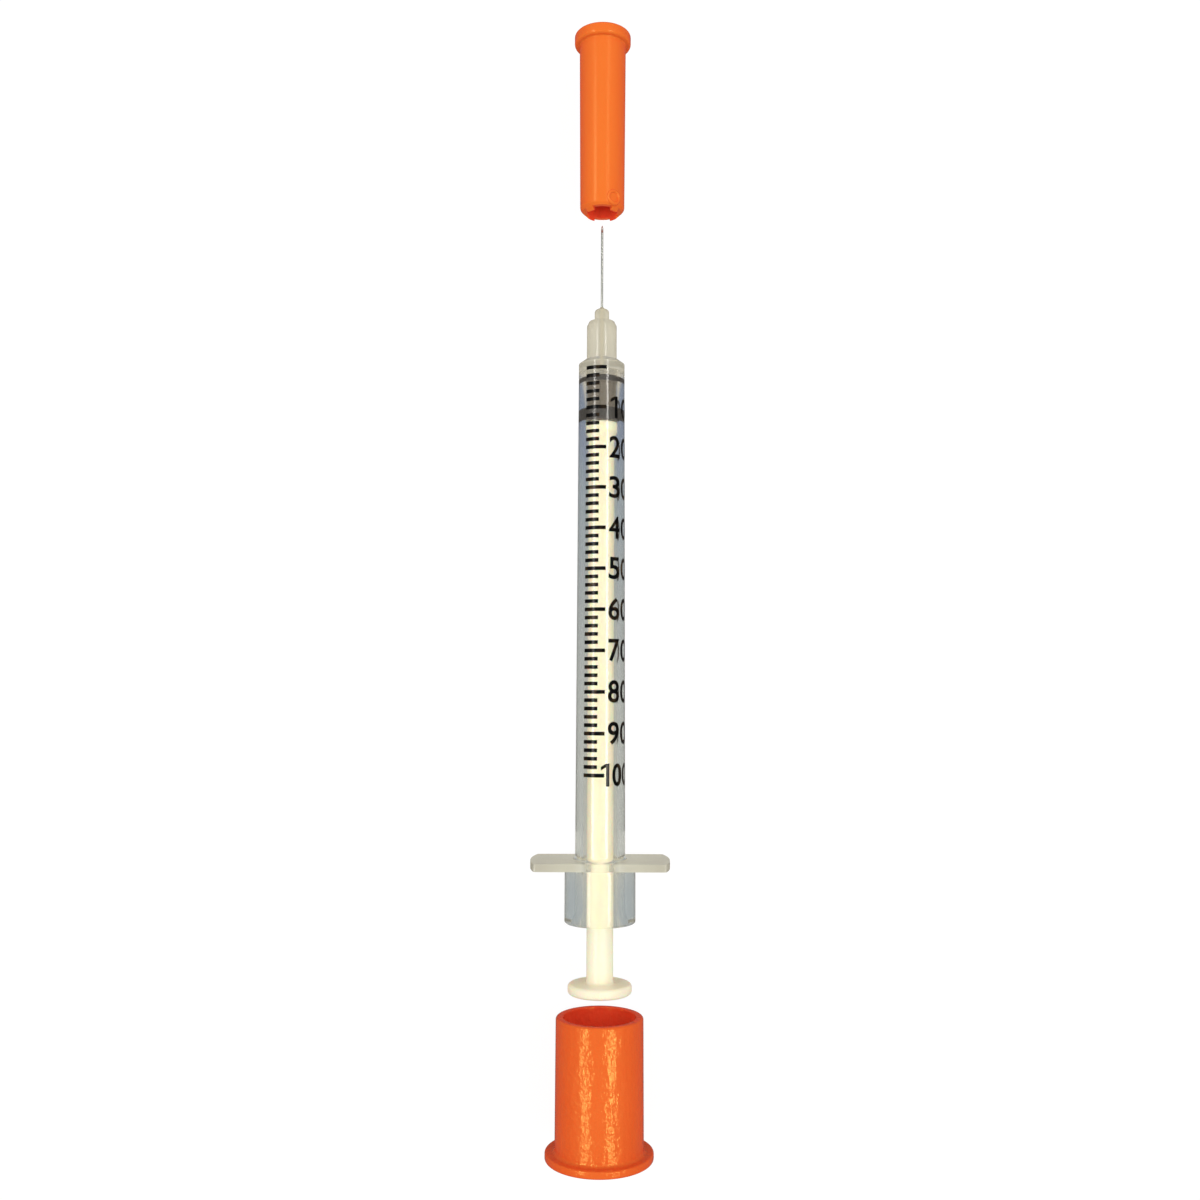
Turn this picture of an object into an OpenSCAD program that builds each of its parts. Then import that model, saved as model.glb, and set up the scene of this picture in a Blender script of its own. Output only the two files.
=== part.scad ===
// Insulin syringe with its two caps taken off, laid out in line.
// The syringe lies along Y with the needle toward +Y. The scale faces up, along +Z.
// The finger flange is wide along X. Every piece is drawn along its own axis and laid down last.

/* [Barrel] */
// Bore of the barrel
bore_d = 4.7; // [4.4:0.05:5]
// Wall of the tube at the needle end
tube_wall_front = 0.95; // [0.7:0.05:1.2]
// Wall of the tube where it meets the finger flange
tube_wall_rear = 1.15; // [1:0.05:1.4]
// Length of the scale, from the zero line to the last line
scale_len = 57.6; // [45:0.1:65]
// Length of plain tube between the last line and the finger flange
tail_len = 11.8; // [8:0.1:16]
// Solid wall between the zero line and the edge of the shoulder
front_wall = 1.15; // [0.8:0.05:2]
// Length of the sloping shoulder
shoulder_len = 0.65; // [0.4:0.05:1]
// Gap that is left ahead of the zero line at the end of the bore
bore_end_gap = 0.1; // [0.05:0.05:0.3]
// Radius where the tube runs into the finger flange
root_r = 0.6; // [0.3:0.05:1]

/* [Hub] */
// Diameter of the hub
hub_d = 4.32; // [3.8:0.02:4.6]
// Length of the hub with its chamfer
hub_len = 5.7; // [4:0.1:8]
// Chamfer at the front of the hub, across the axis
hub_chamfer_w = 0.32; // [0.2:0.02:0.7]
// Chamfer at the front of the hub, along the axis
hub_chamfer_len = 0.66; // [0.4:0.02:1.5]
// Flat ledge round the hub that the needle cap seats on
ledge_w = 0.26; // [0.22:0.02:0.4]
// Diameter of the nub that holds the needle
nub_d = 2.1; // [1.6:0.05:2.6]
// Length of the nub with its domed end
nub_len = 1.9; // [1.5:0.05:3]
// Height of the domed end of the nub
nub_dome = 0.55; // [0.3:0.05:0.8]

/* [Finger flange and collar] */
// Width of the finger flange, from wing to wing
flange_w = 19.5; // [16:0.5:24]
// Width of the finger flange between its two flat sides
flange_h = 10.9; // [10.4:0.1:13]
// Thickness of the finger flange
flange_t = 1.05; // [0.8:0.05:1.6]
// Radius of the bowed ends of the two wings
flange_end_r = 20; // [12:1:40]
// Radius of the four corners between the flat sides and the bowed ends
flange_corner_r = 1; // [0.6:0.1:2]
// Radius of the flange's edges
flange_edge_r = 0.25; // [0.1:0.05:0.35]
// Outer diameter of the collar behind the flange
collar_d = 9.9; // [8.5:0.1:10.2]
// Length of the collar
collar_len = 7.65; // [5:0.05:10]
// Rounding at the open end of the collar
collar_edge_r = 0.3; // [0.1:0.05:0.6]
// Length of the lead-in that opens the bore at the end of the collar
lead_len = 1.6; // [0.8:0.1:3]
// Widening of the bore at the mouth of the lead-in, in radius
lead_w = 0.35; // [0.1:0.05:0.6]

/* [Needle] */
// Outer diameter of the needle
needle_d = 0.33; // [0.25:0.01:0.5]
// Diameter of the hole through the needle
lumen_d = 0.18; // [0.1:0.01:0.22]
// Length of needle that stands out of the nub
needle_out = 12.7; // [8:0.1:16]
// Angle between the bevel and the needle's axis
bevel_angle = 15; // [11:1:25]
// Turn of the two side cuts of the point about the axis
lancet_turn = 35; // [25:1:45]
// Length of the two side cuts of the point
lancet_len = 0.7; // [0.4:0.05:1]
// Gap round the needle in its hole, filled with adhesive
glue_gap = 0.08; // [0.05:0.01:0.15]
// Gap that is left between the adhesive and what it bonds
glue_skin = 0.01; // [0.005:0.005:0.02]
// Diameter of the adhesive well in the end of the nub
well_d = 1.1; // [0.8:0.05:1.3]
// Depth of the adhesive well
well_len = 1; // [0.6:0.05:1.4]
// Height that the adhesive climbs up the needle
climb_len = 0.35; // [0.1:0.05:0.6]

/* [Plunger] */
// Diameter of the plunger rod
rod_d = 3.72; // [3.2:0.02:4]
// Diameter gap between the rod's front disc and the bore
disc_fit = 0.1; // [0.04:0.02:0.2]
// Length of the rod's front disc along its widest part
disc_len = 0.9; // [0.5:0.1:1.5]
// Rounding at the front of the disc
disc_edge_r = 0.5; // [0.2:0.05:0.8]
// Length over which the disc narrows to the rod
disc_taper_len = 0.9; // [0.4:0.1:2]
// Gap between the collar and the thumb rest with the plunger pushed home
thumb_stand = 7.4; // [4:0.1:12]
// Thickness of the thumb rest
thumb_t = 1.45; // [1:0.05:2]
// Rounding of the thumb rest's rim
thumb_edge_r = 0.5; // [0.3:0.05:0.65]
// Radius where the rod runs into the thumb rest
thumb_root_r = 0.35; // [0.2:0.05:0.8]
// Gap in radius between the thumb rest and the plunger cap's bore
thumb_clear = 0.575; // [0.3:0.025:1]
// Diameter of the neck that carries the stopper
neck_d = 1.7; // [1.4:0.05:2]
// Length of the neck
neck_len = 1.4; // [1:0.05:1.8]
// Widening of the barb over the neck, in radius
barb_w = 0.5; // [0.3:0.02:0.55]
// Length of the barb
barb_len = 1.9; // [1.4:0.05:2.4]

/* [Stopper] */
// Length of the stopper
stopper_len = 6.6; // [5.5:0.1:8]
// Diameter gap between the stopper's rings and the bore
stopper_fit = 0.06; // [0.04:0.02:0.12]
// Length of the front sealing ring
front_ring_len = 0.85; // [0.6:0.05:1.2]
// Length of the rear sealing ring
rear_ring_len = 1.9; // [1.2:0.05:2.2]
// Depth of the waist between the two rings
waist_w = 0.2; // [0.1:0.02:0.4]
// Slope between a ring and the waist, along the axis
waist_slope = 0.25; // [0.1:0.05:0.4]
// Rounding of the rings' edges
ring_edge_r = 0.15; // [0.05:0.01:0.25]
// Gap between the stopper's socket and the rod's barb
barb_fit = 0.03; // [0.02:0.01:0.06]

/* [Needle cap] */
// Gap in radius between the cap's bore and the hub
ncap_fit = 0.02; // [0.01:0.01:0.06]
// Width of the flat edge at the cap's mouth
ncap_land_w = 0.18; // [0.14:0.02:0.2]
// Bevel outside the cap's mouth, across and along the axis
ncap_bevel = 0.87; // [0.6:0.01:1.1]
// Widening of the cap's outside from the bevel to the flange, in radius
ncap_draft_w = 0.18; // [0:0.02:0.4]
// Room between the needle's point and the bottom of the cap's bore
tip_room = 5; // [2:0.1:8]
// Closed end wall of the needle cap
ncap_end_wall = 2.05; // [1.5:0.05:4]
// Length of the straight part of the bore that grips the hub
grip_len = 5.6; // [4:0.1:7]
// Narrowing of the bore from the grip to its bottom, in radius
ncap_bore_draft = 0.25; // [0:0.01:0.5]
// Rim of the flange beyond the body, in radius
ncap_rim_w = 0.74; // [0.4:0.02:1.5]
// Thickness of the flange at its rim
ncap_rim_t = 1.8; // [1:0.05:2.5]
// Length over which the flange's underside runs into the body
ncap_rim_slope = 0.87; // [0.4:0.01:1.2]
// Rounding of the flange's outer edges
ncap_edge_r = 0.3; // [0.1:0.05:0.5]
// Number of notches in the mouth
notch_count = 4; // [2:1:4]
// Depth of the notches in the mouth
notch_len = 0.48; // [0.2:0.02:0.7]
// Width of each notch, as an angle about the axis
notch_angle = 62; // [40:1:75]
// Outer diameter of the raised ring on the side
mark_d = 2.1; // [1.6:0.1:3]
// Width of the raised ring's line
mark_line = 0.24; // [0.15:0.01:0.4]
// Height of the raised ring
mark_h = 0.06; // [0.03:0.01:0.12]
// Distance of the raised ring's centre from the mouth
mark_from_mouth = 1.65; // [1.4:0.05:8]
// Turn of the raised ring from the top of the cap
mark_turn = 34; // [0:1:80]
// Gap between the needle's point and the cap that is taken off
ncap_off_gap = 1.45; // [0.5:0.05:5]

/* [Plunger cap] */
// Gap in radius between the cap's bore and the collar
pcap_fit = 0.08; // [0.05:0.01:0.1]
// Wall of the cap at its mouth
pcap_wall = 1.05; // [0.7:0.05:1.5]
// Widening of the cap's outside from the mouth to the flange, in radius
pcap_draft_w = 0.06; // [0:0.01:0.2]
// Rounding of the mouth's edges
pcap_lip_r = 0.35; // [0.1:0.05:0.4]
// Room between the thumb rest and the bottom of the cap
pcap_room = 1.5; // [0.5:0.1:4]
// Closed end wall of the plunger cap
pcap_end_wall = 1; // [0.7:0.05:2]
// Radius round the bottom of the cap's bore
pcap_floor_r = 0.8; // [0.3:0.1:1.2]
// Rim of the flange beyond the body, in radius
pcap_rim_w = 1.36; // [0.6:0.02:2.5]
// Thickness of the flange
pcap_rim_t = 1.05; // [0.7:0.05:2]
// Radius where the body runs into the flange
pcap_root_r = 0.5; // [0.2:0.05:0.6]
// Rounding of the flange's outer edges
pcap_edge_r = 0.25; // [0.1:0.05:0.3]
// Gap between the thumb rest and the cap that is taken off
pcap_off_gap = 3.08; // [1:0.01:8]

/* [Positions] */
// How far the plunger is drawn back from the zero line
rest_draw = 0.84; // [0:0.01:5]
// Gap that a cap keeps from its seat when it is pushed on
seat_gap = 0.05; // [0.02:0.01:0.1]

/* [Hidden] */

$fn = 96;
arc_steps = 8;
over = bore_d;
quarter = 90;
half_turn = 180;

// Radii
bore_r = bore_d / 2;
tube_front_r = bore_r + tube_wall_front;
tube_rear_r = bore_r + tube_wall_rear;
hub_r = hub_d / 2;
nub_r = nub_d / 2;
needle_r = needle_d / 2;
hole_r = needle_r + glue_gap;
collar_r = collar_d / 2;
flange_end_x = flange_end_r - flange_w / 2;
disc_r = bore_r - disc_fit / 2;
ring_r = bore_r - stopper_fit / 2;
rod_r = rod_d / 2;
neck_r = neck_d / 2;
barb_r = neck_r + barb_w;
ncap_bore_r = hub_r + ncap_fit;
ncap_mouth_r = ncap_bore_r + ncap_land_w;
ncap_body_r = ncap_mouth_r + ncap_bevel;
ncap_top_r = ncap_body_r + ncap_draft_w;
ncap_rim_r = ncap_top_r + ncap_rim_w;
pcap_bore_r = collar_r + pcap_fit;
pcap_mouth_r = pcap_bore_r + pcap_wall;
pcap_body_r = pcap_mouth_r + pcap_draft_w;
pcap_rim_r = pcap_body_r + pcap_rim_w;
thumb_r = pcap_bore_r - thumb_clear;

// Places along the axis, counted from the zero line toward the needle
bore_end = bore_end_gap;
shoulder_edge = front_wall;
hub_base = shoulder_edge + shoulder_len;
hub_top = hub_base + hub_len;
nub_top = hub_top + nub_len;
needle_tip = nub_top + needle_out;
flange_front = -scale_len - tail_len;
flange_rear = flange_front - flange_t;
collar_end = flange_rear - collar_len;
stopper_front = -rest_draw;
stopper_rear = stopper_front - stopper_len;
thumb_front = collar_end - thumb_stand - rest_draw;
thumb_rear = thumb_front - thumb_t;
ncap_mouth = needle_tip + ncap_off_gap;
ncap_depth = needle_tip - hub_base + tip_room;
ncap_len = ncap_depth + ncap_end_wall;
ncap_end = ncap_mouth + ncap_len;
pcap_mouth = thumb_rear - pcap_off_gap;
pcap_depth = collar_len + thumb_stand + thumb_t + pcap_room;
pcap_len = pcap_depth + pcap_end_wall;
pcap_end = pcap_mouth - pcap_len;

// The frame: the middle of the whole row lies over the origin, and it stands on its widest cap
axis_z = max(pcap_rim_r, ncap_rim_r, flange_h / 2);
zero_y = -(ncap_end + pcap_end) / 2;

// Travel of the moving pieces from the layout drawn here
plunger_push = rest_draw;
plunger_pull = scale_len - rest_draw;
ncap_travel = ncap_mouth - hub_base - seat_gap;
pcap_travel = flange_rear - pcap_mouth - rest_draw - seat_gap;
echo(axis_z=axis_z, zero_y=zero_y, plunger_push=plunger_push, plunger_pull=plunger_pull);
echo(ncap_travel=ncap_travel, pcap_travel=pcap_travel);

// Points along a round corner with its centre at c, from one angle to another
function corner(c, r, from, to) = [
  for (i = [0:arc_steps])
    let (a = from + (to - from) * i / arc_steps) [c[0] + r * cos(a), c[1] + r * sin(a)]
];

// Lays a piece that stands on the zero line down along Y, at the height of the axis
module lay() {
  translate([0, zero_y, axis_z]) rotate([-quarter, 0, 0]) children();
}

// The barrel's outside, from the collar's open end to the domed nub
module barrel_outside() {
  dome_c = nub_top - nub_dome;
  dome_share = nub_dome / nub_r;
  rotate_extrude() polygon(concat(
    [[0, collar_end]],
    corner([collar_r - collar_edge_r, collar_end + collar_edge_r], collar_edge_r, -quarter, 0),
    [[collar_r, flange_rear], [collar_r, flange_rear + flange_t / 2], [tube_rear_r, flange_front - flange_t / 2]],
    corner([tube_rear_r + root_r, flange_front + root_r], root_r, 2 * half_turn - quarter, half_turn),
    [[tube_front_r, shoulder_edge], [hub_r + ledge_w, hub_base], [hub_r, hub_base]],
    [[hub_r, hub_top - hub_chamfer_len], [hub_r - hub_chamfer_w, hub_top], [nub_r, hub_top]],
    [
      for (i = [0:arc_steps])
        let (a = quarter * i / arc_steps) [nub_r * cos(a), dome_c + nub_r * dome_share * sin(a)]
    ]
  ));
}

// The finger flange's outline: two flat sides, two bowed ends and rounded corners
module flange_outline() {
  corner_y = flange_h / 2 - flange_corner_r;
  corner_x = sqrt(pow(flange_end_r - flange_corner_r, 2) - pow(corner_y, 2)) - flange_end_x;
  bow_h = corner_y * flange_end_r / (flange_end_r - flange_corner_r);
  intersection() {
    translate([-flange_end_x, 0]) circle(flange_end_r);
    translate([flange_end_x, 0]) circle(flange_end_r);
    square([2 * flange_w, 2 * bow_h], center=true);
  }
  square([2 * corner_x, flange_h], center=true);
  for (x = [-corner_x, corner_x], y = [-corner_y, corner_y])
    translate([x, y]) circle(flange_corner_r);
}

// A plate's cross-section with rounded edges, centred on the origin
module plate_section(w, t, r) {
  for (x = [r - w / 2, w / 2 - r], y = [r - t / 2, t / 2 - r])
    translate([x, y]) circle(r);
  square([w - 2 * r, t], center=true);
  square([w, t - 2 * r], center=true);
}

// A round plate whose soft rim is the bowed end of the wing on one side
module wing_end(side) {
  translate([-side * flange_end_x, 0, 0]) rotate_extrude() intersection() {
    plate_section(2 * flange_end_r, flange_t, flange_edge_r);
    translate([0, -flange_t]) square([2 * flange_end_r, 2 * flange_t]);
  }
}

module finger_flange() {
  translate([0, 0, flange_rear + flange_t / 2]) intersection() {
    translate([0, 0, -flange_t / 2]) linear_extrude(flange_t) flange_outline();
    rotate([quarter, 0, quarter])
      translate([0, 0, -flange_w]) linear_extrude(2 * flange_w) plate_section(flange_h, flange_t, flange_edge_r);
    wing_end(-1);
    wing_end(1);
  }
}

module barrel() {
  color([0.8, 0.84, 0.85, 0.45]) lay() difference() {
    union() {
      barrel_outside();
      finger_flange();
    }
    translate([0, 0, collar_end - over]) cylinder(h=bore_end - collar_end + over, r=bore_r);
    translate([0, 0, collar_end - lead_len]) cylinder(h=2 * lead_len, r1=bore_r + 2 * lead_w, r2=bore_r);
    translate([0, 0, bore_end - over]) cylinder(h=nub_top - bore_end + 2 * over, r=hole_r);
    translate([0, 0, nub_top - well_len]) cylinder(h=well_len, r1=hole_r, r2=well_d / 2);
  }
}

// The hollow needle, its rear end level with the bottom of the bore. The bevel faces up, with the scale.
module needle_cannula() {
  bevel_len = needle_d / tan(bevel_angle);
  lancet_angle = atan(needle_r * sin(lancet_turn) / lancet_len + tan(bevel_angle) * cos(lancet_turn));
  color([0.78, 0.79, 0.8]) lay() difference() {
    translate([0, 0, bore_end]) cylinder(h=needle_tip - bore_end, r=needle_r);
    translate([0, 0, bore_end - over]) cylinder(h=needle_tip - bore_end + 2 * over, r=lumen_d / 2);
    translate([0, -needle_r, needle_tip - bevel_len]) rotate([-bevel_angle, 0, 0])
      translate([-over / 2, -over, 0]) cube(over);
    for (side = [-1, 1])
      translate([0, needle_r, needle_tip]) rotate([0, 0, side * lancet_turn]) rotate([-lancet_angle, 0, 0])
        translate([-over / 2, -over, -over / 2]) cube(over);
  }
}

// The cured adhesive: a sleeve in the hole, the filled well and a small cone up the needle
module needle_adhesive() {
  color([0.86, 0.84, 0.74, 0.6]) lay() difference() {
    union() {
      translate([0, 0, bore_end + glue_gap]) cylinder(h=nub_top - well_len - bore_end - glue_gap, r=hole_r - glue_skin);
      translate([0, 0, nub_top - well_len]) cylinder(h=well_len, r1=hole_r - glue_skin, r2=well_d / 2 - glue_skin);
      translate([0, 0, nub_top]) cylinder(h=climb_len, r1=well_d / 2 - glue_skin, r2=needle_r + glue_skin);
    }
    translate([0, 0, bore_end - over]) cylinder(h=nub_top - bore_end + 2 * over, r=needle_r + glue_skin);
  }
}

// The rod: barb, neck, front disc, shaft and thumb rest in one turned outline
module plunger_rod() {
  disc_widest = stopper_rear - disc_edge_r;
  disc_back = disc_widest - disc_len;
  barb_base = stopper_rear + neck_len;
  barb_tip = barb_base + barb_len;
  color([0.98, 0.96, 0.86]) lay() rotate_extrude() polygon(concat(
    [[0, thumb_rear]],
    corner([thumb_r - thumb_edge_r, thumb_rear + thumb_edge_r], thumb_edge_r, -quarter, 0),
    corner([thumb_r - thumb_edge_r, thumb_front - thumb_edge_r], thumb_edge_r, 0, quarter),
    corner([rod_r + thumb_root_r, thumb_front + thumb_root_r], thumb_root_r, 2 * half_turn - quarter, half_turn),
    [[rod_r, disc_back - disc_taper_len], [disc_r, disc_back]],
    corner([disc_r - disc_edge_r, disc_widest], disc_edge_r, 0, quarter),
    [[neck_r, stopper_rear], [neck_r, barb_base], [barb_r, barb_base]],
    [[barb_r, barb_base + barb_w / 2], [neck_r, barb_tip], [0, barb_tip]]
  ));
}

// The rubber stopper: two sealing rings, a waist between them and a socket for the barb
module plunger_stopper() {
  waist_r = ring_r - waist_w;
  front_ring_end = stopper_front - front_ring_len;
  rear_ring_end = stopper_rear + rear_ring_len;
  socket_neck_r = neck_r + barb_fit;
  socket_barb_r = barb_r + barb_fit;
  socket_base = stopper_rear + neck_len - barb_fit;
  socket_tip = stopper_rear + neck_len + barb_len + barb_fit;
  color([0.42, 0.4, 0.37]) lay() rotate_extrude() polygon(concat(
    [[socket_neck_r, stopper_rear]],
    corner([ring_r - ring_edge_r, stopper_rear + ring_edge_r], ring_edge_r, -quarter, 0),
    [[ring_r, rear_ring_end], [waist_r, rear_ring_end + waist_slope]],
    [[waist_r, front_ring_end - waist_slope], [ring_r, front_ring_end]],
    corner([ring_r - ring_edge_r, stopper_front - ring_edge_r], ring_edge_r, 0, quarter),
    [[0, stopper_front], [0, socket_tip], [socket_neck_r, socket_tip]],
    [[socket_barb_r, socket_base + barb_w / 2 + barb_fit], [socket_barb_r, socket_base], [socket_neck_r, socket_base]]
  ));
}

// The needle cap's outside, grown by a little for the raised ring. It stands on its mouth at zero.
module ncap_outside(grow) {
  rim_low = ncap_len - ncap_rim_t;
  rotate_extrude() polygon(concat(
    [[0, 0], [ncap_mouth_r + grow, 0], [ncap_body_r + grow, ncap_bevel]],
    corner(
      [ncap_top_r + grow + ncap_rim_slope, rim_low - ncap_rim_slope],
      ncap_rim_slope, half_turn, half_turn - quarter / 2
    ),
    [[ncap_rim_r - ncap_edge_r / 2, rim_low], [ncap_rim_r, rim_low + ncap_edge_r / 2]],
    corner([ncap_rim_r - ncap_edge_r, ncap_len - ncap_edge_r], ncap_edge_r, 0, quarter),
    [[0, ncap_len]]
  ));
}

// The raised ring: a round line that follows the cap's surface
module ncap_mark() {
  intersection() {
    ncap_outside(mark_h);
    rotate([0, 0, mark_turn - quarter]) translate([0, 0, mark_from_mouth]) rotate([0, quarter, 0]) difference() {
      cylinder(h=ncap_body_r + over, d=mark_d);
      translate([0, 0, -over]) cylinder(h=ncap_body_r + 3 * over, r=mark_d / 2 - mark_line);
    }
  }
}

// One notch across the mouth, as a wedge about the axis
module ncap_notch() {
  side_y = over * tan(notch_angle / 2);
  translate([0, 0, -over]) linear_extrude(over + notch_len) polygon([[0, 0], [over, -side_y], [over, side_y]]);
}

module needle_cap() {
  bore_bottom_r = ncap_bore_r - ncap_bore_draft;
  color([0.95, 0.45, 0.15]) lay() translate([0, 0, ncap_mouth]) difference() {
    union() {
      ncap_outside(0);
      ncap_mark();
    }
    translate([0, 0, -over]) cylinder(h=grip_len + over, r=ncap_bore_r);
    rotate_extrude() polygon([
      [0, 0], [ncap_bore_r, 0], [ncap_bore_r, grip_len], [bore_bottom_r, ncap_depth - bore_bottom_r / 2],
      [bore_bottom_r / 2, ncap_depth], [0, ncap_depth]
    ]);
    for (i = [0:notch_count - 1])
      rotate([0, 0, 2 * half_turn / notch_count * i]) ncap_notch();
  }
}

// The plunger cap in one turned outline, its mouth toward the thumb rest
module plunger_cap() {
  rim_top = pcap_rim_t - pcap_len;
  floor_z = pcap_end_wall - pcap_len;
  color([0.95, 0.45, 0.15]) lay() translate([0, 0, pcap_mouth]) rotate_extrude() polygon(concat(
    [[0, -pcap_len]],
    corner([pcap_rim_r - pcap_edge_r, pcap_edge_r - pcap_len], pcap_edge_r, -quarter, 0),
    corner([pcap_rim_r - pcap_edge_r, rim_top - pcap_edge_r], pcap_edge_r, 0, quarter),
    corner([pcap_body_r + pcap_root_r, rim_top + pcap_root_r], pcap_root_r, 2 * half_turn - quarter, half_turn),
    corner([pcap_mouth_r - pcap_lip_r, -pcap_lip_r], pcap_lip_r, 0, quarter),
    corner([pcap_bore_r + pcap_lip_r / 2, -pcap_lip_r / 2], pcap_lip_r / 2, quarter, half_turn),
    corner([pcap_bore_r - pcap_floor_r, floor_z + pcap_floor_r], pcap_floor_r, 0, -quarter),
    [[0, floor_z]]
  ));
}

barrel();
needle_cannula();
needle_adhesive();
plunger_rod();
plunger_stopper();
needle_cap();
plunger_cap();
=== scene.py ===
"""An insulin syringe with its two caps taken off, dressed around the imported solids.

Sizes in the classes are millimetres. A place along the axis is counted from the scale's zero line toward the
needle, as in the part's source, and becomes metres when a piece is made.
"""

import logging
import math
from collections.abc import Callable, Sequence
from dataclasses import dataclass, field
from enum import Enum

import bmesh
import bpy
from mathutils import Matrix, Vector


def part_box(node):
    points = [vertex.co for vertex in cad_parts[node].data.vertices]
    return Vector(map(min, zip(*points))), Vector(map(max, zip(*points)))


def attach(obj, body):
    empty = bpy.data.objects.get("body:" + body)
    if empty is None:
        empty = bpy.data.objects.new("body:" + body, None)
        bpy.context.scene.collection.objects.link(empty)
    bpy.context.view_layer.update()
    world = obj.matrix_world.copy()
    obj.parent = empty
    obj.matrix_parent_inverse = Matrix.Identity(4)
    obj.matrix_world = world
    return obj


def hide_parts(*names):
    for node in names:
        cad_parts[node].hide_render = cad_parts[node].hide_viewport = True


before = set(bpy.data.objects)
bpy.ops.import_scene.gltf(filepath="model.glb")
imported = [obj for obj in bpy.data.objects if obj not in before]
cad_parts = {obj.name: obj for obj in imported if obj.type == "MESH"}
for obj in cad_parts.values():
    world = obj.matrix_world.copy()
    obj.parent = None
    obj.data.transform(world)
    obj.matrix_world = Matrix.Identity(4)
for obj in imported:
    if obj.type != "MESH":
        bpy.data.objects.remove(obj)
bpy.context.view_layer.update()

LOG = logging.getLogger("insulin_syringe")
MM = 0.001
FULL_TURN = 2 * math.pi
ROUND_STEPS = 96
ARC_STEP = math.radians(15)
WELD = 0.0004 * MM
SLACK = 0.01 * MM
NEEDLE_TIP = 22.1
PLASTIC_IOR = 1.49

Colour = tuple[float, float, float]
Piece = bpy.types.Object
Socket = bpy.types.NodeSocket


class Body(Enum):
    """The bodies that the joints move."""

    BARREL = "barrel"
    PLUNGER = "plunger"
    NEEDLE_CAP = "needle_cap"
    PLUNGER_CAP = "plunger_cap"


@dataclass(frozen=True)
class Axis:
    """The syringe's axis in the frame, in metres."""

    zero_y: float
    height: float

    @classmethod
    def from_frame(cls) -> "Axis":
        """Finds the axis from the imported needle, whose point lies a known way from the zero line."""
        low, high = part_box("needle_cannula")
        return cls(zero_y=high.y - NEEDLE_TIP * MM, height=(low.z + high.z) / 2)

    def at(self, across: float = 0.0, along: float = 0.0, up: float = 0.0) -> Vector:
        """Gives a point in the frame.

        Args:
            across: Millimetres to the right of the axis, along X.
            along: Millimetres from the zero line toward the needle.
            up: Millimetres above the axis.

        Returns:
            The point in metres.
        """
        return Vector((across * MM, self.zero_y + along * MM, self.height + up * MM))

    def y(self, along: float) -> float:
        """Turns a place along the axis into metres along Y."""
        return self.at(along=along).y

    def around(self, radius: float, angle: float, along: float) -> Vector:
        """Gives the point at a radius, at an angle from straight up toward +X."""
        return self.at(radius * math.sin(angle), along, radius * math.cos(angle))


@dataclass(frozen=True)
class Corner:
    """A corner of a turned outline: its radius, its place along the axis, and the radius that rounds it."""

    r: float
    t: float
    rounding: float = 0.0

    @property
    def point(self) -> Vector:
        """The corner as a flat point."""
        return Vector((self.r, self.t))


def rounded_outline(corners: Sequence[Corner], closed: bool) -> list[tuple[float, float]]:
    """Draws an outline with its corners rounded by arcs.

    Args:
        corners: The outline's corners in order, in millimetres.
        closed: Whether the last corner runs back to the first.

    Returns:
        Points (radius, place) along the outline.
    """
    points: list[tuple[float, float]] = []
    count = len(corners)
    for i, corner in enumerate(corners):
        here, rounding = corner.point, corner.rounding
        if rounding <= 0 or (not closed and i in (0, count - 1)):
            points.append((here.x, here.y))
            continue
        back = (corners[i - 1].point - here).normalized()
        ahead = (corners[(i + 1) % count].point - here).normalized()
        opening = back.angle(ahead)
        centre = here + (back + ahead).normalized() * (rounding / math.sin(opening / 2))
        reach = rounding / math.tan(opening / 2)
        first, last = here + back * reach - centre, here + ahead * reach - centre
        steps = max(2, round((math.pi - opening) / ARC_STEP))
        sweep = first.angle_signed(last)
        for k in range(steps + 1):
            cos, sin = math.cos(-sweep * k / steps), math.sin(-sweep * k / steps)
            points.append((centre.x + first.x * cos - first.y * sin, centre.y + first.x * sin + first.y * cos))
    return points


def clear() -> None:
    """Leaves edit mode, with nothing selected."""
    if bpy.context.mode != "OBJECT":
        bpy.ops.object.mode_set(mode="OBJECT")
    bpy.ops.object.select_all(action="DESELECT")


def activate(piece: Piece) -> None:
    """Makes one piece the only one selected."""
    clear()
    piece.select_set(True)
    bpy.context.view_layer.objects.active = piece


def edit(piece: Piece) -> None:
    """Opens a piece in edit mode with all of it picked."""
    activate(piece)
    bpy.ops.object.mode_set(mode="EDIT")
    bpy.ops.mesh.select_all(action="SELECT")


def apply(piece: Piece) -> None:
    """Puts a piece's place, turn and size in its mesh."""
    activate(piece)
    bpy.ops.object.transform_apply(location=True, rotation=True, scale=True)


def named(name: str, size: Sequence[float] = ()) -> Piece:
    """Names the active object and its mesh.

    Args:
        name: The piece's name.
        size: How much it is stretched along X, Y and Z, if at all.

    Returns:
        The active object.
    """
    piece = bpy.context.active_object
    piece.name = name
    piece.data.name = name
    if size:
        piece.scale = size
        apply(piece)
    return piece


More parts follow.
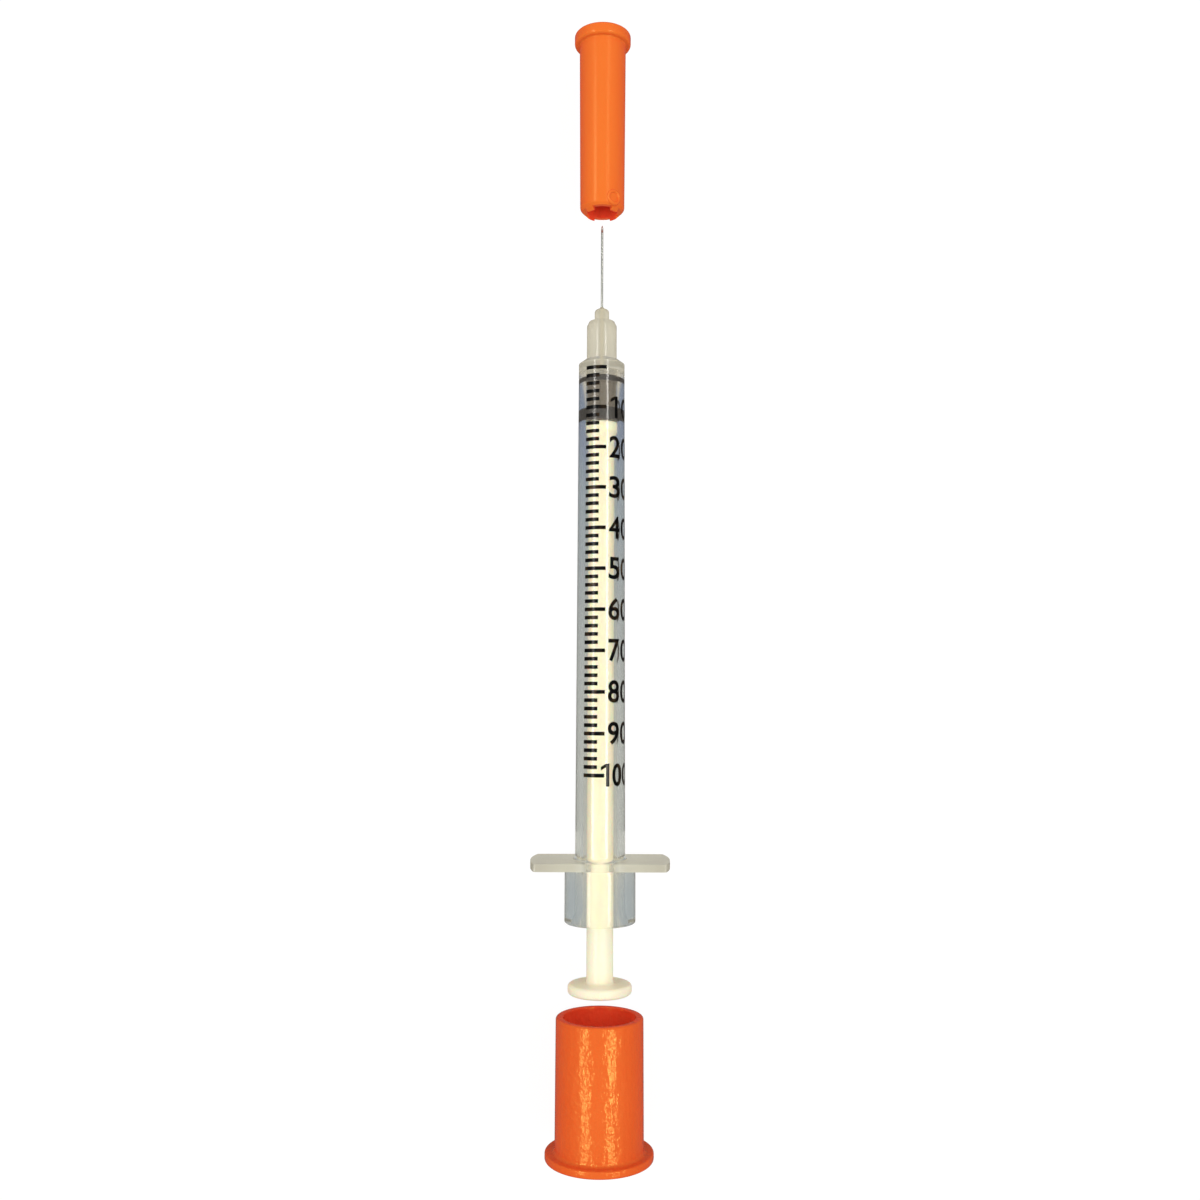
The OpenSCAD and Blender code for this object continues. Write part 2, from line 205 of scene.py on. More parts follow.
def pick(piece: Piece, mode: str, wanted: Callable[[Vector, Vector], bool]) -> int:
    """Picks vertices, edges or faces of the open piece by their place.

    Args:
        piece: The piece that is open in edit mode.
        mode: VERT, EDGE or FACE.
        wanted: Says whether to take one. It gets a vertex and its normal, an edge's two ends,
            or a face's centre and normal.

    Returns:
        How many were picked.
    """
    bpy.ops.mesh.select_mode(type=mode)
    bpy.ops.mesh.select_all(action="DESELECT")
    mesh = bmesh.from_edit_mesh(piece.data)
    if mode == "VERT":
        parts = [(v, v.co, v.normal) for v in mesh.verts]
    elif mode == "EDGE":
        parts = [(e, e.verts[0].co, e.verts[1].co) for e in mesh.edges]
    else:
        parts = [(f, f.calc_center_median(), f.normal) for f in mesh.faces]
    picked = [part for part, one, other in parts if wanted(one, other)]
    for part in picked:
        part.select_set(True)
    mesh.select_flush_mode()
    bmesh.update_edit_mesh(piece.data)
    return len(picked)


def clean(piece: Piece) -> None:
    """Welds doubles and turns all faces outward."""
    edit(piece)
    bpy.ops.mesh.remove_doubles(threshold=WELD)
    bpy.ops.mesh.normals_make_consistent(inside=False)
    clear()


def settle(piece: Piece, angle: float) -> None:
    """Applies a piece's place and shades it smooth, but for edges sharper than an angle in degrees."""
    apply(piece)
    bpy.ops.object.shade_smooth_by_angle(angle=math.radians(angle))


def turned(name: str, axis: Axis, corners: Sequence[Corner], closed: bool = False) -> Piece:
    """Turns an outline about the axis, as on a lathe.

    Args:
        name: The piece's name.
        axis: The syringe's axis.
        corners: The outline's corners, in millimetres.
        closed: Whether the outline closes on itself, as round a bore.

    Returns:
        The turned piece.
    """
    points = [axis.at(0, t, r) for r, t in rounded_outline(corners, closed)]
    clear()
    bpy.ops.mesh.primitive_plane_add(size=MM, location=points[0])
    piece = named(name)
    edit(piece)
    bpy.ops.mesh.select_mode(type="VERT")
    bpy.ops.mesh.merge(type="CENTER")
    ahead = points[1:] + ([points[0]] if closed else [])
    for here, there in zip(points, ahead):
        bpy.ops.mesh.extrude_vertices_move(TRANSFORM_OT_translate={"value": there - here})
    bpy.ops.mesh.select_all(action="SELECT")
    bpy.ops.mesh.spin(steps=ROUND_STEPS, angle=FULL_TURN, center=axis.at(), axis=(0, 1, 0))
    clean(piece)
    return piece


def rolled_ring(name: str, radii: Sequence[float], steps: Sequence[int], roll: Callable[[Vector], Vector]) -> Piece:
    """Makes a thin ring that lies rolled onto a round side.

    Args:
        name: The ring's name.
        radii: The ring's radius and its line's radius, in millimetres.
        steps: How many steps go round each.
        roll: Gives a point of the flat ring, in millimetres, its place on the side.

    Returns:
        The ring.
    """
    clear()
    bpy.ops.mesh.primitive_torus_add(
        location=(0, 0, 0), major_radius=radii[0] * MM, minor_radius=radii[1] * MM, major_segments=steps[0],
        minor_segments=steps[1],
    )
    ring = named(name)
    for vertex in ring.data.vertices:
        vertex.co = roll(vertex.co / MM)
    clean(ring)
    return ring


def modify(piece: Piece, kind: str, **settings: object) -> None:
    """Adds a modifier to a piece and applies it.

    Args:
        piece: The piece.
        kind: The modifier's type.
        **settings: The modifier's settings.
    """
    activate(piece)
    modifier = piece.modifiers.new(kind.lower(), kind)
    for key, value in settings.items():
        setattr(modifier, key, value)
    bpy.ops.object.modifier_apply(modifier=modifier.name)


def boolean(piece: Piece, tool: Piece, operation: str) -> None:
    """Cuts a tool out of a piece, adds it or keeps what both share, and removes the tool."""
    modify(piece, "BOOLEAN", operation=operation, solver="EXACT", object=tool)
    bpy.data.objects.remove(tool, do_unlink=True)


def join(name: str, pieces: Sequence[Piece]) -> Piece:
    """Joins several meshes into one piece.

    Args:
        name: The joined piece's name.
        pieces: The meshes.

    Returns:
        The joined piece.
    """
    activate(pieces[0])
    for piece in pieces:
        piece.select_set(True)
    bpy.ops.object.join()
    return named(name)


class Effect(Enum):
    """The shader groups that several finishes share."""

    FLOW = "mould_flow_lines"
    MOTTLE = "cloud_and_grain"
    BAND = "band_along_y"
    CORE = "core_mask"


class Nodes:
    """A node tree, with short calls to add and join nodes."""

    def __init__(self, tree: bpy.types.NodeTree) -> None:
        """Takes a tree and empties it."""
        self.tree = tree
        tree.nodes.clear()

    def add(self, kind: str, settings: dict[str, object] | None = None, **inputs: object) -> bpy.types.Node:
        """Adds a node and fills or joins its inputs.

        Args:
            kind: The node's type, without the word that all of them start with.
            settings: Attributes of the node itself.
            **inputs: Values or sockets by input name, with _ for a space and iN for the input at place N. A
                colour comes without its alpha.

        Returns:
            The node.
        """
        node = self.tree.nodes.new("ShaderNode" + kind)
        for key, value in (settings or {}).items():
            setattr(node, key, value)
        for key, value in inputs.items():
            by_place = key[0] == "i" and key[1:].isdigit()
            socket = node.inputs[int(key[1:])] if by_place else node.inputs[key.replace("_", " ")]
            if isinstance(value, Socket):
                self.tree.links.new(value, socket)
            else:
                socket.default_value = (*value, 1.0) if socket.type == "RGBA" else value
        return node

    def first(self, kind: str, settings: dict[str, object] | None = None, **inputs: object) -> Socket:
        """Adds a node, as add does, and gives its first output."""
        return self.add(kind, settings, **inputs).outputs[0]

    def effect(self, effect: Effect, **inputs: object) -> bpy.types.bpy_prop_collection:
        """Adds a shared group and gives its outputs."""
        return self.add("Group", {"node_tree": bpy.data.node_groups[effect.value]}, **inputs).outputs

    def band(self, start: float, end: float, soft: float) -> Socket:
        """Gives a mask that is 1 between two places along Y, in metres."""
        return self.effect(Effect.BAND, Start=start, End=end, Soft=soft)[0]

    def mix(self, share: object, one: object, other: object) -> Socket:
        """Mixes two colours."""
        return self.first("MixRGB", i0=share, i1=one, i2=other)

    def blend(self, share: object, one: Socket, other: Socket) -> Socket:
        """Mixes two shaders."""
        return self.first("MixShader", i0=share, i1=one, i2=other)

    def math(self, operation: str, one: object, other: object = 0.0) -> Socket:
        """Works out a value from two."""
        return self.first("Math", {"operation": operation}, i0=one, i1=other)

    def vector(self, operation: str, one: Socket, other: object) -> Socket:
        """Works out a vector from two."""
        return self.first("VectorMath", {"operation": operation}, i0=one, i1=other)

    def ranged(self, value: Socket, interpolation: str = "LINEAR", **limits: object) -> Socket:
        """Maps a value from one range to another."""
        return self.first("MapRange", {"interpolation_type": interpolation}, Value=value, **limits)

    def noise(self, place: Socket, scale: object, detail: float, roughness: float = 0.5) -> Socket:
        """Gives a noise over a place."""
        return self.first("TexNoise", Vector=place, Scale=scale, Detail=detail, Roughness=roughness)

    def place(self, output: str = "Object") -> Socket:
        """Gives the place of each point on the object."""
        return self.add("TexCoord").outputs[output]

    def coordinate(self, letter: str, output: str = "Object") -> Socket:
        """Gives one coordinate of that place."""
        return self.add("SeparateXYZ", Vector=self.place(output)).outputs[letter]

    def unshadowed(self, shader: Socket, tint: Colour) -> Socket:
        """Lets the light of the lamps pass a shader straight, with a tint."""
        straight = self.first("BsdfTransparent", Color=tint)
        return self.blend(self.add("LightPath").outputs["Is Shadow Ray"], shader, straight)


def give_surface(owner: bpy.types.Material | bpy.types.World, output: str, draw: Callable[[Nodes], Socket]) -> None:
    """Gives a material or a world its shader.

    Args:
        owner: The material or world.
        output: The output node's type.
        draw: Draws the shader in a node tree.
    """
    owner.use_nodes = True
    nodes = Nodes(owner.node_tree)
    nodes.add(output, Surface=draw(nodes))


class Group(Nodes):
    """A shader group with value inputs and outputs."""

    def __init__(self, effect: Effect, **inputs: float) -> None:
        """Starts the group.

        Args:
            effect: Which group it is.
            **inputs: Its inputs and their defaults, with _ for a space.
        """
        super().__init__(bpy.data.node_groups.new(effect.value, "ShaderNodeTree"))
        for label, value in inputs.items():
            self.socket(label.replace("_", " "), "INPUT").default_value = value
        self.given = self.tree.nodes.new("NodeGroupInput").outputs

    def socket(self, label: str, way: str) -> bpy.types.NodeTreeInterfaceSocket:
        """Gives the group an input or an output."""
        return self.tree.interface.new_socket(label, in_out=way, socket_type="NodeSocketFloat")

    def fade(self, inward: Socket) -> Socket:
        """Turns a distance inward from an edge into a mask with a soft edge."""
        share = self.math("DIVIDE", inward, self.given["Soft"])
        return self.ranged(share, "SMOOTHSTEP", From_Min=-0.5, From_Max=0.5)

    def close(self, **outputs: Socket) -> None:
        """Joins values to the group's outputs."""
        for label in outputs:
            self.socket(label, "OUTPUT")
        out = self.tree.nodes.new("NodeGroupOutput")
        for label, value in outputs.items():
            self.tree.links.new(value, out.inputs[label])


def draw_flow_lines() -> None:
    """Draws the long faint lines that a polished mould core leaves along the axis."""
    group = Group(Effect.FLOW, Density=900.0, Stretch=0.06)
    squeeze = group.first("CombineXYZ", X=1.0, Y=group.given["Stretch"], Z=1.0)
    lines = group.noise(group.vector("MULTIPLY", group.place(), squeeze), group.given["Density"], 3.0, 0.55)
    patches = group.noise(group.place(), 260.0, 2.0)
    mask = group.ranged(lines, From_Min=0.35, From_Max=0.68)
    group.close(Height=group.math("MULTIPLY", lines, patches), Mask=mask)


def draw_mottle() -> None:
    """Draws a soft cloudiness and a fine grain."""
    group = Group(Effect.MOTTLE, Cloud_Scale=120.0, Grain_Scale=6000.0)
    place = group.place()
    cloud = group.noise(place, group.given["Cloud Scale"], 3.0)
    group.close(Cloud=cloud, Grain=group.noise(place, group.given["Grain Scale"], 2.0))


def draw_band() -> None:
    """Draws a mask that is 1 between two places along Y and fades out over a soft edge."""
    group = Group(Effect.BAND, Start=0.0, End=1.0, Soft=0.0005)
    y = group.coordinate("Y")
    masks = [
        group.fade(group.math("SUBTRACT", one, other))
        for one, other in ((y, group.given["Start"]), (group.given["End"], y))
    ]
    group.close(Mask=group.math("MULTIPLY", *masks))


def draw_core() -> None:
    """Draws a mask that is 1 near the axis and fades out over a soft edge at a radius."""
    group = Group(Effect.CORE, Height=0.0, Radius=0.001, Soft=0.0001)
    middle = group.first("CombineXYZ", X=0.0, Y=0.0, Z=group.given["Height"])
    across = group.vector("MULTIPLY", group.vector("SUBTRACT", group.place(), middle), (1, 0, 1))
    radius = group.add("VectorMath", {"operation": "LENGTH"}, i0=across).outputs["Value"]
    group.close(Mask=group.fade(group.math("SUBTRACT", group.given["Radius"], radius)))


@dataclass(frozen=True)
class Waves:
    """How a moulding's skin bends its highlights: long lines, soft dents and fine grain, in millimetres."""

    line_density: float
    line_height: float
    dent_scale: float
    dent_height: float
    grain_height: float
    stretch: float = 0.06
    grain_scale: float = 7000.0

    def normal(self, nodes: Nodes) -> Socket:
        """Adds the skin's normal to a material.

        Args:
            nodes: The material's nodes.

        Returns:
            The normal.
        """
        lines = nodes.effect(Effect.FLOW, Density=self.line_density, Stretch=self.stretch)
        dents = nodes.effect(Effect.MOTTLE, Cloud_Scale=self.dent_scale, Grain_Scale=self.grain_scale)
        under: dict[str, Socket] = {}
        for height, pattern in (
            (self.line_height, lines["Height"]),
            (self.dent_height, dents["Cloud"]),
            (self.grain_height, dents["Grain"]),
        ):
            under["Normal"] = nodes.first("Bump", Strength=1.0, Distance=height * MM, Height=pattern, **under)
        return under["Normal"]


@dataclass(frozen=True)
class InnerShade:
    """Painted shade inside a cap: a deeper red within a radius of the axis, between two places along Y, in metres."""

    colour: Colour
    height: float
    radius: float
    start: float
    end: float
    soft: float = 0.0002

    def paint_inner_shade(self, nodes: Nodes, colour: Socket) -> Socket:
        """Paints the shade inside a cap in its deeper colour.

        Args:
            nodes: The material's nodes.
            colour: The colour of the outside.

        Returns:
            The colour of both.
        """
        near = nodes.effect(Effect.CORE, Height=self.height, Radius=self.radius, Soft=self.soft)[0]
        inside = nodes.math("MULTIPLY", near, nodes.band(self.start, self.end, self.soft))
        return nodes.mix(inside, colour, self.colour)


@dataclass(frozen=True)
class Plastic:
    """A moulded plastic: two close colours, gloss, a skin that bends highlights, and a little light inside.

    Seen edge-on it is painted in the edge colour, a painted shade that stands in for light coming out of it there by a
    longer way.
    """

    colour: Colour
    deep: Colour
    gloss: tuple[float, float]
    waves: Waves
    glint: Colour = (1.0, 1.0, 1.0)
    shine: float = 0.5
    glow: float = 0.0
    glow_depth: float = 0.5
    # Painted bounce light: a warmer tone over a stretch along Y, where an orange cap lies near.
    bounce_light_band: tuple[float, float, float] | None = None
    bounce_light_colour: Colour = (0.8, 0.8, 0.8)
    # Painted edge shade: the deeper colour that faces seen edge-on take.
    edge: Colour | None = None
    edge_shade_blend: float = 0.35
    # Painted shade inside the cap's bore, if it has one.
    core: InnerShade | None = None

    def shader(self, nodes: Nodes) -> Socket:
        """Draws the shader.

        Args:
            nodes: The material's nodes.

        Returns:
            The shader.
        """
        colour = nodes.mix(nodes.effect(Effect.MOTTLE)["Cloud"], self.colour, self.deep)
        # Painted bounce light: the stretch near the orange cap is mixed toward a warmer colour.
        if self.bounce_light_band is not None:
            colour = nodes.mix(nodes.band(*self.bounce_light_band), colour, self.bounce_light_colour)
        # Painted edge shade: faces seen edge-on are mixed toward the deeper edge colour.
        if self.edge is not None:
            facing = nodes.add("LayerWeight", Blend=self.edge_shade_blend).outputs["Facing"]
            colour = nodes.mix(facing, colour, self.edge)
        # Painted shade: the inside of a cap takes a deeper red, for the shade there and the red of light filtered
        # through the wall.
        if self.core is not None:
            colour = self.core.paint_inner_shade(nodes, colour)
        lines = nodes.effect(Effect.FLOW, Density=self.waves.line_density)
        return nodes.first(
            "BsdfPrincipled", Base_Color=colour, IOR=PLASTIC_IOR,
            Roughness=nodes.ranged(lines["Mask"], To_Min=self.gloss[0], To_Max=self.gloss[1]),
            Specular_IOR_Level=self.shine, Specular_Tint=self.glint, Subsurface_Weight=self.glow,
            Subsurface_Scale=self.glow_depth * MM, Normal=self.waves.normal(nodes),
        )


@dataclass(frozen=True)
class Haze:
    """A stretch of the clear moulding that is thick enough to look milky, in metres along Y.

    A window is clearer: it lies over the bore, as far out from the middle as the given half width. The milk
    beside it is lit up by what it shows.
    """

    start: float
    end: float
    soft: float
    amount: float
    window: float = 0.0
    window_edge: tuple[float, float] = (0.8, 1.2)
    window_milk: float = 0.3
    lit_reach: float = 3.6


@dataclass(frozen=True)
class ClearPlastic:
    """Clear moulded plastic that bends light and turns milky where it is thick.

    Light from the lamps passes it straight, so what it holds is lit.
    """

    tint: Colour
    milk: Colour
    thin_haze: float
    roughness: float
    line_height: float
    hazes: tuple[Haze, ...] = ()
    lit_milk: Colour = (0.95, 0.92, 0.76)
    passed: Colour = (0.9, 0.885, 0.87)
    through: float = 0.4

    def milkiness(self, nodes: Nodes) -> tuple[Socket | float, Socket | Colour]:
        """Adds up the milky stretches.

        Args:
            nodes: The material's nodes.

        Returns:
            The share of milk at each point, and the milk's colour.
        """
        share: Socket | float = self.thin_haze
        tone: Socket | Colour = self.milk
        for haze in self.hazes:
            band = nodes.band(haze.start, haze.end, haze.soft)
            milk = nodes.math("MULTIPLY", band, haze.amount)
            if haze.window:
                aside = nodes.math("ABSOLUTE", nodes.coordinate("X"))
                near, far = (haze.window * edge for edge in haze.window_edge)
                wall = nodes.ranged(aside, From_Min=near, From_Max=far, To_Min=haze.window_milk)
                milk = nodes.math("MULTIPLY", milk, wall)
                reach = haze.window * haze.lit_reach
                lit = nodes.ranged(aside, From_Min=haze.window, From_Max=reach, To_Min=1.0, To_Max=0.0)
                tone = nodes.mix(nodes.math("MULTIPLY", band, lit), tone, self.lit_milk)
            share = nodes.math("MAXIMUM", share, milk)
        return share, tone

    def shader(self, nodes: Nodes) -> Socket:
        """Draws the shader.

        Args:
            nodes: The material's nodes.

        Returns:
            The shader.
        """
        lines = nodes.effect(Effect.FLOW, Density=700.0, Stretch=0.03)
        skin = {
            "Normal": nodes.first("Bump", Strength=0.3, Distance=self.line_height * MM, Height=lines["Height"]),
            "Roughness": nodes.ranged(lines["Mask"], To_Min=self.roughness, To_Max=self.roughness * 2),
            "IOR": PLASTIC_IOR,
        }
        clear = nodes.first("BsdfPrincipled", Base_Color=self.tint, Transmission_Weight=1.0, **skin)
        share, tone = self.milkiness(nodes)
        front = nodes.first("BsdfPrincipled", Base_Color=tone, **skin)
        milk = nodes.blend(self.through, front, nodes.first("BsdfTranslucent", Color=tone))
        return nodes.unshadowed(nodes.blend(share, clear, milk), self.passed)


@dataclass(frozen=True)
class Rubber:
    """Grey moulded rubber with a fine grain. Where its rings wet the bore it looks darker and smoother."""

    colour: Colour
    deep: Colour
    pressed: Colour
    axis_height: float
    ring_r: float
    ring_depth: float = 0.05
    ring_blur: float = 0.06

    def shader(self, nodes: Nodes) -> Socket:
        """Draws the shader.

        Args:
            nodes: The material's nodes.

        Returns:
            The shader.
        """
        mottle = nodes.effect(Effect.MOTTLE, Cloud_Scale=400.0, Grain_Scale=9000.0)
        dry = nodes.effect(
            Effect.CORE, Height=self.axis_height, Radius=(self.ring_r - self.ring_depth) * MM, Soft=self.ring_blur * MM
        )
        return nodes.first(
            "BsdfPrincipled",
            Base_Color=nodes.mix(dry[0], self.pressed, nodes.mix(mottle["Cloud"], self.colour, self.deep)),
            Roughness=nodes.ranged(mottle["Cloud"], To_Min=0.42, To_Max=0.6),
            Normal=nodes.first("Bump", Strength=0.5, Distance=0.01 * MM, Height=mottle["Grain"]),
        )


@dataclass(frozen=True)
class Steel:
    """Drawn steel tube with lines along its length."""

    colour: Colour
    line_shade: float = 0.86

    def shader(self, nodes: Nodes) -> Socket:
        """Draws the shader.

        Args:
            nodes: The material's nodes.

        Returns:
            The shader.
        """
        lines = nodes.effect(Effect.FLOW, Density=9000.0, Stretch=0.02)["Mask"]
        shade = nodes.mix(lines, self.colour, tuple(c * self.line_shade for c in self.colour))
        gloss = nodes.ranged(lines, To_Min=0.22, To_Max=0.38)
        return nodes.first("BsdfPrincipled", Base_Color=shade, Metallic=1.0, Roughness=gloss)


@dataclass(frozen=True)
class Ink:
    """Black printing ink that lies a little thin and brown in places."""

    colour: Colour
    thin: Colour

    def shader(self, nodes: Nodes) -> Socket:
        """Draws the shader.

        Args:
            nodes: The material's nodes.

        Returns:
            The shader.
        """
        mottle = nodes.effect(Effect.MOTTLE, Cloud_Scale=900.0, Grain_Scale=7000.0)
        cover = nodes.ranged(mottle["Cloud"], From_Min=0.5, From_Max=0.75)
        shader = nodes.first(
            "BsdfPrincipled", Base_Color=nodes.mix(cover, self.colour, self.thin), Specular_IOR_Level=0.2,
            Roughness=nodes.ranged(mottle["Cloud"], To_Min=0.08, To_Max=0.2),
            Normal=nodes.first("Bump", Strength=0.4, Distance=0.002 * MM, Height=mottle["Grain"]),
        )
        return nodes.unshadowed(shader, (1.0, 1.0, 1.0))


class Finish(Enum):
    """Every finish: its material's name and the record's slot that it belongs to."""

    BARREL = ("clear_polypropylene", "barrel_clear")
    NEEDLE = ("drawn_steel", "needle_steel")
    ADHESIVE = ("cured_adhesive", "adhesive")
    ROD = ("cream_polypropylene", "rod_cream")
    STOPPER = ("grey_rubber", "stopper_rubber")
    NEEDLE_CAP = ("orange_polypropylene_thin", "cap_orange")
    PLUNGER_CAP = ("orange_polypropylene_wide", "cap_orange")
    INK = ("printing_ink", "scale_ink")


@dataclass
class Finishes:
    """Every finish of the syringe, built once."""

    axis: Axis
    made: dict[Finish, bpy.types.Material] = field(default_factory=dict)

    def build(self) -> None:
        """Draws the shared groups and builds every finish."""
        for draw in (draw_flow_lines, draw_mottle, draw_band, draw_core):
            draw()
        y, height = self.axis.y, self.axis.height
        front = Haze(y(-0.15), y(20.0), 0.0009, 0.5)
        flange = Haze(y(-70.6), y(-69.25), 0.0003, 0.68, 0.0022)
        collar = Haze(y(-80.0), y(-70.5), 0.0003, 0.08)
        # Painted shade inside the caps' bores: a deeper red.
        inner_shade_red = (0.95, 0.085, 0.032)
        thin_cap_shade = InnerShade(inner_shade_red, height, 0.0023, y(23.0), y(49.5))
        wide_cap_shade = InnerShade(inner_shade_red, height, 0.0058, y(-109.0), y(-90.7))
        recipes = {
            Finish.BARREL: ClearPlastic(
                (0.985, 0.965, 0.92), (0.765, 0.725, 0.595), 0.03, 0.08, 0.003, (front, flange, collar)
            ),
            Finish.NEEDLE: Steel((0.66, 0.66, 0.6)),
            Finish.ADHESIVE: ClearPlastic((0.9, 0.86, 0.74), (0.7, 0.65, 0.5), 0.3, 0.05, 0.003),
            # The rod's thumb end is painted warmer, as painted bounce light from the orange plunger cap beside it.
            Finish.ROD: Plastic(
                (0.95, 0.92, 0.7), (0.93, 0.89, 0.67), (0.3, 0.42), Waves(1400.0, 0.006, 500.0, 0.004, 0.001),
                glow=0.5, glow_depth=1.5, bounce_light_band=(y(-95.0), y(-85.2), 0.0016), bounce_light_colour=(0.96, 0.86, 0.65),
            ),
            Finish.STOPPER: Rubber(
                (0.142, 0.12, 0.091), (0.113, 0.095, 0.071), (0.052, 0.045, 0.039), height, 2.35
            ),
            Finish.NEEDLE_CAP: Plastic(
                (0.85, 0.185, 0.027), (0.82, 0.168, 0.023), (0.12, 0.24), Waves(800.0, 0.004, 900.0, 0.004, 0.001),
                glint=(1.0, 0.75, 0.3), shine=0.35, glow=0.12, glow_depth=0.8, edge=(0.82, 0.07, 0.02),
                core=thin_cap_shade,
            ),
            Finish.PLUNGER_CAP: Plastic(
                (0.84, 0.14, 0.024), (0.78, 0.118, 0.019), (0.03, 0.13),
                Waves(1500.0, 0.17, 1500.0, 0.1, 0.004, stretch=0.14), glint=(1.0, 0.85, 0.22), shine=0.85,
                glow=0.12, glow_depth=0.8, edge=(0.78, 0.06, 0.02), core=wide_cap_shade,
            ),
            Finish.INK: Ink((0.0015, 0.0012, 0.0012), (0.05, 0.03, 0.012)),
        }
        for finish, recipe in recipes.items():
            self.made[finish] = bpy.data.materials.new(finish.value[0])
            give_surface(self.made[finish], "OutputMaterial", recipe.shader)

    def dress(self, piece: Piece, finish: Finish) -> None:
        """Gives a piece, new or a CAD node, its finish."""
        piece.data.materials.clear()
        piece.data.materials.append(self.made[finish])


@dataclass
class Part:
    """A sub-assembly, with its place and its finishes."""

    axis: Axis
    finishes: Finishes

    def complete(self, piece: Piece, finish: Finish, angle: float = 32.0) -> None:
        """Settles a new piece, dresses it and reports it.

        Args:
            piece: The piece.
            finish: Its finish.
            angle: Edges sharper than this many degrees stay crisp.
        """
        settle(piece, angle)
        self.finishes.dress(piece, finish)
        LOG.info("%s: %d faces", piece.name, len(piece.data.polygons))


@dataclass
class Barrel(Part):
    """The clear moulding: nub, hub, shoulder, drafted tube, finger flange and collar."""

    bore_r: float = 2.35
    bore_end: float = 0.1
    hole_r: float = 0.245
    well_r: float = 0.55
    well_base: float = 8.4
    nub_r: float = 1.05
    nub_tip: float = 9.4
    hub_r: float = 2.16
    hub_base: float = 1.8
    hub_side: float = 6.84
    hub_top: float = 7.5
    hub_front_r: float = 1.84
    ledge_r: float = 2.42
    shoulder_r: float = 3.3
    shoulder_t: float = 1.15
    tube_rear_r: float = 3.5
    flange_front: float = -69.4
    flange_rear: float = -70.45
    flange_disc_r: float = 11.2
    flange_half_width: float = 9.75
    flange_half_height: float = 5.45
    flange_end_r: float = 20.0
    flange_corner_r: float = 1.0
    stock_length: float = 60.0
    stock_steps: int = 256
    corner_steps: int = 8
    gate_t: float = -63.7
    gate_across: float = 0.53
    gate_r: float = 0.24
    gate_line: float = 0.03
    collar_r: float = 4.95
    collar_end: float = -78.1
    lead_start: float = -76.5
    lead_r: float = 2.7

    def outline(self) -> list[Corner]:
        """Draws the moulding's section on one side of the axis, as a closed outline.

        Returns:
            The corners in order, from the needle's hole round by the bore and back over the outside.
        """
        return [
            Corner(self.hole_r, self.well_base), Corner(self.hole_r, self.bore_end),
            Corner(self.bore_r, self.bore_end, 0.08), Corner(self.bore_r, self.lead_start),
            Corner(self.lead_r, self.collar_end, 0.1), Corner(self.collar_r, self.collar_end, 0.3),
            Corner(self.collar_r, self.flange_rear), Corner(self.flange_disc_r, self.flange_rear),
            Corner(self.flange_disc_r, self.flange_front), Corner(self.tube_rear_r, self.flange_front, 0.6),
            Corner(self.shoulder_r, self.shoulder_t, 0.08), Corner(self.ledge_r, self.hub_base, 0.05),
            Corner(self.hub_r, self.hub_base), Corner(self.hub_r, self.hub_side, 0.12),
            Corner(self.hub_front_r, self.hub_top, 0.06), Corner(self.nub_r, self.hub_top, 0.08),
            Corner(self.nub_r, self.nub_tip, 0.5), Corner(self.well_r, self.nub_tip),
        ]

    def flange_stock(self) -> Piece:
        """Makes the block that trims the turned disc to a finger flange.

        Two wide discs that overlap give the bowed ends, two flat cuts the sides, and bevels the corners.

        Returns:
            The block, long enough to hold the whole moulding.
        """
        shift = self.flange_end_r - self.flange_half_width
        blocks = []
        for side in (-1, 1):
            clear()
            bpy.ops.mesh.primitive_cylinder_add(
                vertices=self.stock_steps, radius=self.flange_end_r * MM, depth=2 * self.stock_length * MM,
                location=self.axis.at(side * shift, self.flange_front / 2), rotation=(math.pi / 2, 0, 0),
            )
            blocks.append(named(f"flange_stock_{side}"))
            apply(blocks[-1])
        stock, other = blocks
        boolean(stock, other, "INTERSECT")
        edit(stock)
        for side in (-1, 1):
            bpy.ops.mesh.select_all(action="SELECT")
            bpy.ops.mesh.bisect(
                plane_co=self.axis.at(up=side * self.flange_half_height), plane_no=(0, 0, side), use_fill=True,
                clear_outer=True, threshold=WELD,
            )
        half_width, half_height = self.flange_half_width * MM, self.flange_half_height * MM

        def is_corner(one: Vector, other: Vector) -> bool:
            """Tells whether an edge is one of the four corners of the stock."""
            on_flat = abs(abs(one.z - self.axis.height) - half_height) < SLACK
            return abs(one.y - other.y) > half_width and on_flat and abs(one.x) > half_height

        corners = pick(stock, "EDGE", is_corner)
        lean = math.asin(self.flange_half_height / self.flange_end_r)
        width = self.flange_corner_r / math.tan((math.pi / 2 + lean) / 2)
        bpy.ops.mesh.bevel(offset=width * MM, segments=self.corner_steps, affect="EDGES", clamp_overlap=False)
        clear()
        LOG.info("finger flange: %d corners rounded", corners)
        return stock

    def tube_r(self, along: float) -> float:
        """Gives the tube's outer radius at a place."""
        share = (self.shoulder_t - along) / (self.shoulder_t - self.flange_front)
        return self.shoulder_r + (self.tube_rear_r - self.shoulder_r) * share

    def roll_gate(self, point: Vector) -> Vector:
        """Rolls a point of the faint ring that the mould's gate leaves onto the tube."""
        along = self.gate_t + point.y
        radius = self.tube_r(along) + point.z
        return self.axis.around(radius, (self.gate_across + point.x) / radius, along)

    def build(self) -> None:
        """Builds the moulding."""
        piece = turned("barrel_moulding", self.axis, self.outline(), closed=True)
        boolean(piece, self.flange_stock(), "INTERSECT")
        gate = rolled_ring("gate_mark", (self.gate_r, self.gate_line), (32, 8), self.roll_gate)
        boolean(piece, gate, "UNION")
        clean(piece)
        self.complete(piece, Finish.BARREL, 28.0)
        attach(piece, Body.BARREL.value)
        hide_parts("barrel")


